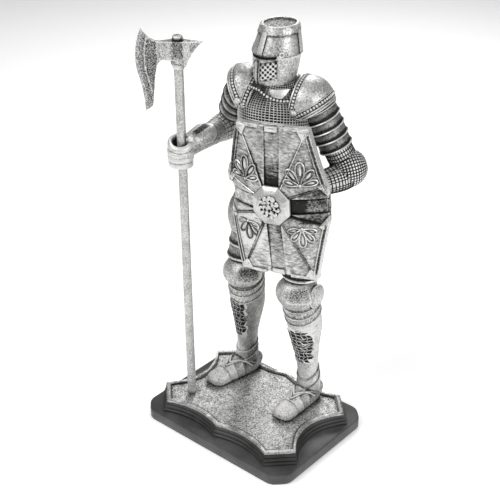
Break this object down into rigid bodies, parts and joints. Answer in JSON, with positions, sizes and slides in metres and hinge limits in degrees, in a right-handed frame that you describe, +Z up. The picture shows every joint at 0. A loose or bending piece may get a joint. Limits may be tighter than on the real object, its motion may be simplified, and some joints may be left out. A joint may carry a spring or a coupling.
{
  "type": "medieval knight statue",
  "caption": "Cast knight in great helm and plate armour on a scalloped plinth, holding a long-shafted axe and a cross-shaped shield.",
  "frame": {"origin": "centre of the base plate's underside, where the statue stands", "axes": "+Z up, +X towards the knight's left, -Y towards the front; the shield, torso and head are turned a little within this frame"},
  "size_m": [0.1356, 0.1091, 0.2982],
  "materials": {
    "satin_black": "satin black",
    "plinth_silver": "speckled antique silver floor and rim over dark moulded sides",
    "antique_silver": "antique silver, bright on the high places with a dark wash in the recesses",
    "shield_silver": "brushed antique silver panels with bright rims",
    "shaft_silver": "speckled dull silver",
    "axe_silver": "stippled dark antique silver"
  },
  "bodies": {
    "root": {"base_plate": "satin_black", "plinth": "plinth_silver", "knight_figure": "antique_silver", "shield": "shield_silver", "axe_shaft": "shaft_silver", "axe_head": "axe_silver"}
  },
  "joints": []
}
